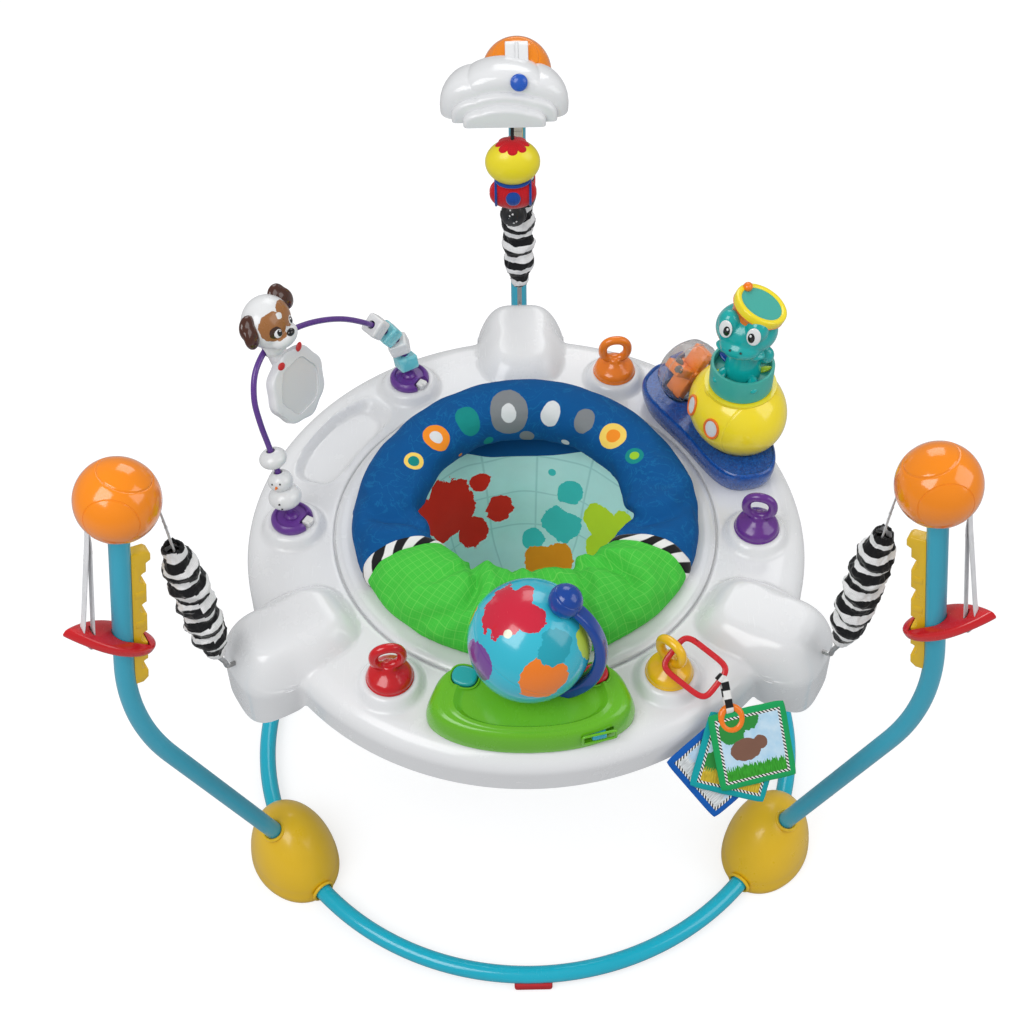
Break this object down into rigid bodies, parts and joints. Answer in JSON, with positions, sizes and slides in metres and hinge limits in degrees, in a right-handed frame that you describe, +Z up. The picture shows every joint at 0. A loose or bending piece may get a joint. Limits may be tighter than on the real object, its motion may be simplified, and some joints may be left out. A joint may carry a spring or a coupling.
{
  "type": "baby activity center jumper",
  "caption": "Three-post baby jumper: round floor ring, sprung white tray with a padded turning seat, height levers, and globe, submarine, wire arch, link and hanging toys.",
  "frame": {"origin": "centre of the whole object's outline on the floor", "axes": "+X to the child's left side as the picture shows it, right in the picture; +Y away from the camera, from the globe to the back post; +Z up"},
  "size_m": [0.9518, 0.9246, 0.8341],
  "materials": {
    "ring_blue": "gloss",
    "post_blue": "satin",
    "yellow_plastic": "satin",
    "orange_plastic": "gloss",
    "red_plastic": "gloss",
    "red_rubber": "matte",
    "white_plastic": "gloss",
    "white_webbing": "woven",
    "zebra_cloth": "gathered, black and white",
    "spring_steel": "satin",
    "purple_plastic": "gloss",
    "royal_blue_cloth": "woven, padded",
    "aqua_cloth": "woven, printed",
    "green_plastic": "gloss",
    "blue_plastic": "gloss",
    "globe_blue": "gloss",
    "teal_plastic": "gloss",
    "lemon_plastic": "gloss",
    "clear_plastic": "clear",
    "ice_plastic": "clear",
    "book_cloth": "woven, printed"
  },
  "bodies": {
    "frame": {"base_tube_front": "ring_blue", "base_tube_right": "ring_blue", "base_tube_left": "ring_blue", "bumper_front": "red_rubber", "bumper_right": "red_rubber", "bumper_left": "red_rubber", "foot_right": "yellow_plastic", "post_right": "post_blue", "ball_right": "orange_plastic", "rack_right": "yellow_plastic", "webbing_right": "white_webbing", "foot_left": "yellow_plastic", "post_left": "post_blue", "ball_left": "orange_plastic", "rack_left": "yellow_plastic", "webbing_left": "white_webbing", "foot_back": "yellow_plastic", "post_back": "post_blue", "ball_back": "orange_plastic", "rack_back": "yellow_plastic", "webbing_back": "white_webbing", "cloud": "white_plastic"},
    "lever_right": {"lever_right": "red_plastic"},
    "lever_left": {"lever_left": "red_plastic"},
    "lever_back": {"lever_back": "red_plastic"},
    "hangers": {"spring_right": "spring_steel", "sleeve_right": "zebra_cloth", "spring_left": "spring_steel", "sleeve_left": "zebra_cloth", "spring_back": "spring_steel", "sleeve_back": "zebra_cloth"},
    "tray": {"tray_deck": "white_plastic", "ring_post_red": "red_plastic", "ring_post_yellow": "yellow_plastic", "ring_post_purple": "purple_plastic", "ring_post_orange": "orange_plastic", "globe_base": "green_plastic", "globe_arm": "blue_plastic", "sub_base": "blue_plastic", "sub_hull": "lemon_plastic", "arch_wire": "purple_plastic"},
    "seat": {"seat_ring": "white_plastic", "seat_pad": "royal_blue_cloth", "seat_sling": "aqua_cloth"},
    "globe": {"globe": "globe_blue"},
    "globe_button_left": {"globe_button_left": "teal_plastic"},
    "globe_button_right": {"globe_button_right": "red_plastic"},
    "volume_switch": {"volume_switch": "globe_blue"},
    "rattle_drum": {"rattle_drum": "clear_plastic"},
    "turtle": {"turtle": "teal_plastic"},
    "snow_bead": {"snow_bead": "white_plastic"},
    "snowman": {"snowman": "white_plastic"},
    "white_block_upper": {"white_block_upper": "white_plastic"},
    "ice_block_upper": {"ice_block_upper": "ice_plastic"},
    "white_block_lower": {"white_block_lower": "white_plastic"},
    "ice_block_lower": {"ice_block_lower": "ice_plastic"},
    "puppy_mirror": {"puppy_mirror": "white_plastic"},
    "link_ring": {"link_ring": "red_plastic"},
    "book": {"book": "book_cloth"},
    "bead_figure": {"bead_figure": "red_plastic"}
  },
  "joints": [
    {"name": "lever_right_height", "type": "slide", "parent": "frame", "child": "lever_right", "axis": [-0.1435, 0.0828, 0.9862], "range_m": [-0.045, 0.09], "deforming": ["webbing_right"]},
    {"name": "lever_left_height", "type": "slide", "parent": "frame", "child": "lever_left", "axis": [0.1435, 0.0828, 0.9862], "range_m": [-0.045, 0.09], "deforming": ["webbing_left"]},
    {"name": "lever_back_height", "type": "slide", "parent": "frame", "child": "lever_back", "axis": [0, -0.1657, 0.9862], "range_m": [-0.045, 0.09], "deforming": ["webbing_back"]},
    {"name": "tray_height", "type": "slide", "parent": "frame", "child": "hangers", "axis": [0, 0, 1], "range_m": [-0.09, 0.045]},
    {"name": "tray_bounce", "type": "slide", "parent": "hangers", "child": "tray", "axis": [0, 0, 1], "range_m": [-0.06, 0.03], "stiffness_N_per_m": 1500, "springref_m": 0.03, "deforming": ["spring_right", "sleeve_right", "spring_left", "sleeve_left", "spring_back", "sleeve_back"]},
    {"name": "seat_spin", "type": "hinge", "parent": "tray", "child": "seat", "pos_m": [0, -0.0862, 0.47], "axis": [0, 0, 1], "continuous": true},
    {"name": "globe_spin", "type": "hinge", "parent": "tray", "child": "globe", "pos_m": [0, -0.3302, 0.565], "axis": [0.4848, 0, 0.8746], "continuous": true},
    {"name": "globe_button_left_press", "type": "slide", "parent": "tray", "child": "globe_button_left", "axis": [0.0539, 0.1886, -0.9806], "range_m": [0, 0.003], "stiffness_N_per_m": 300, "springref_m": -0.002},
    {"name": "globe_button_right_press", "type": "slide", "parent": "tray", "child": "globe_button_right", "axis": [-0.0539, 0.1886, -0.9806], "range_m": [0, 0.003], "stiffness_N_per_m": 300, "springref_m": -0.002},
    {"name": "volume_slide", "type": "slide", "parent": "tray", "child": "volume_switch", "axis": [0.9733, 0.2294, 0], "range_m": [-0.009, 0.009]},
    {"name": "drum_spin", "type": "hinge", "parent": "tray", "child": "rattle_drum", "pos_m": [0.20944, 0.11324, 0.523], "axis": [-0.5, 0.866, 0], "continuous": true},
    {"name": "turtle_spin", "type": "hinge", "parent": "tray", "child": "turtle", "pos_m": [0.26093, 0.03904, 0.5768], "axis": [0, 0, 1], "continuous": true},
    {"name": "snow_bead_slide", "type": "slide", "parent": "tray", "child": "snow_bead", "axis": [-0.1863, 0.1935, 0.9632], "range_m": [0, 0.04]},
    {"name": "snowman_spin", "type": "hinge", "parent": "tray", "child": "snowman", "pos_m": [-0.28398, -0.07249, 0.5111], "axis": [-0.1519, 0.2494, 0.9564], "continuous": true},
    {"name": "white_block_upper_spin", "type": "hinge", "parent": "tray", "child": "white_block_upper", "pos_m": [-0.18009, 0.14411, 0.5795], "axis": [0.4835, 0.4285, -0.7633], "continuous": true},
    {"name": "ice_block_upper_spin", "type": "hinge", "parent": "tray", "child": "ice_block_upper", "pos_m": [-0.16636, 0.15536, 0.55611], "axis": [0.4461, 0.3259, -0.8336], "continuous": true},
    {"name": "white_block_lower_spin", "type": "hinge", "parent": "tray", "child": "white_block_lower", "pos_m": [-0.15504, 0.16153, 0.53105], "axis": [0.3185, 0.0442, -0.9469], "continuous": true},
    {"name": "ice_block_lower_spin", "type": "hinge", "parent": "tray", "child": "ice_block_lower", "pos_m": [-0.14746, 0.16013, 0.50396], "axis": [0.146, -0.2588, -0.9548], "continuous": true},
    {"name": "puppy_swing", "type": "hinge", "parent": "tray", "child": "puppy_mirror", "pos_m": [-0.28911, 0.0091, 0.67993], "axis": [0.4584, 0.8888, 0], "range_deg": [-10, 10]},
    {"name": "link_swing", "type": "hinge", "parent": "tray", "child": "link_ring", "pos_m": [0.15474, -0.31305, 0.5132], "axis": [-0.6309, -0.6009, -0.4907], "range_deg": [0, 60]},
    {"name": "book_swing", "type": "hinge", "parent": "link_ring", "child": "book", "pos_m": [0.20883, -0.33661, 0.49696], "axis": [-0.6309, -0.6009, -0.4907], "range_deg": [-8, 20]},
    {"name": "figure_swing", "type": "hinge", "parent": "frame", "child": "bead_figure", "pos_m": [-0.007, 0.2898, 0.779], "axis": [0, 1, 0], "range_deg": [-18, 18]}
  ],
  "couplings": [
    {"joint": "lever_left_height", "follows": "lever_right_height", "ratio": 1},
    {"joint": "lever_back_height", "follows": "lever_right_height", "ratio": 1},
    {"joint": "tray_height", "follows": "lever_right_height", "ratio": -1}
  ]
}
